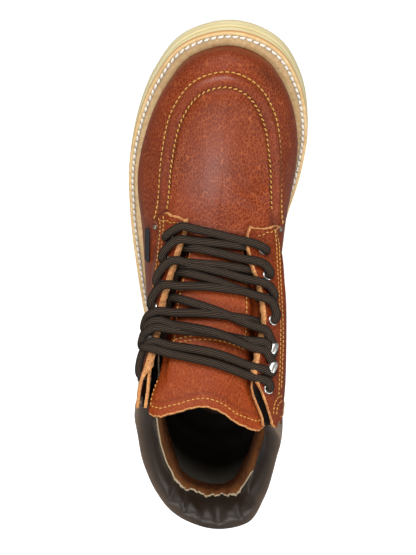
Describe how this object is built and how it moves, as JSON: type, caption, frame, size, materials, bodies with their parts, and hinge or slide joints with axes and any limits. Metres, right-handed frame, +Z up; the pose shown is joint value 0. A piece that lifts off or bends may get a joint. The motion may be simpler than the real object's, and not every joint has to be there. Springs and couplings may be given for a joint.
{
  "type": "work boot",
  "caption": "Left lace-up ankle work boot with a moc-toe leather upper, padded collar, welt and cream wedge sole.",
  "frame": {"origin": "on the floor under the middle of the sole", "axes": "+Y towards the toe, +X towards the inner side of the foot, +Z up"},
  "size_m": [0.1186, 0.3034, 0.1815],
  "materials": {
    "upper_leather": "pebbled red-brown oiled leather",
    "tongue_leather": "softer orange-brown leather",
    "collar_leather": "soft dark brown padded leather",
    "welt_leather": "tan welt with ivory stitching",
    "insole_leather": "matt brown lining leather",
    "sole_rubber": "matt cream blown rubber",
    "nickel": "nickel plated",
    "lace_cord": "round braided lace"
  },
  "bodies": {
    "root": {"outsole": "sole_rubber", "midsole": "sole_rubber", "welt": "welt_leather", "insole": "insole_leather", "upper": "upper_leather", "eyestay_lateral": "upper_leather", "eyestay_medial": "upper_leather", "tongue": "tongue_leather", "collar": "collar_leather", "lace": "lace_cord", "eyelet_lateral_1": "nickel", "eyelet_lateral_2": "nickel", "eyelet_lateral_3": "nickel", "eyelet_lateral_4": "nickel", "eyelet_lateral_7": "nickel", "eyelet_medial_1": "nickel", "eyelet_medial_2": "nickel", "eyelet_medial_3": "nickel", "eyelet_medial_4": "nickel", "eyelet_medial_7": "nickel", "hook_lateral_5": "nickel", "hook_lateral_6": "nickel", "hook_medial_5": "nickel", "hook_medial_6": "nickel"}
  },
  "joints": []
}
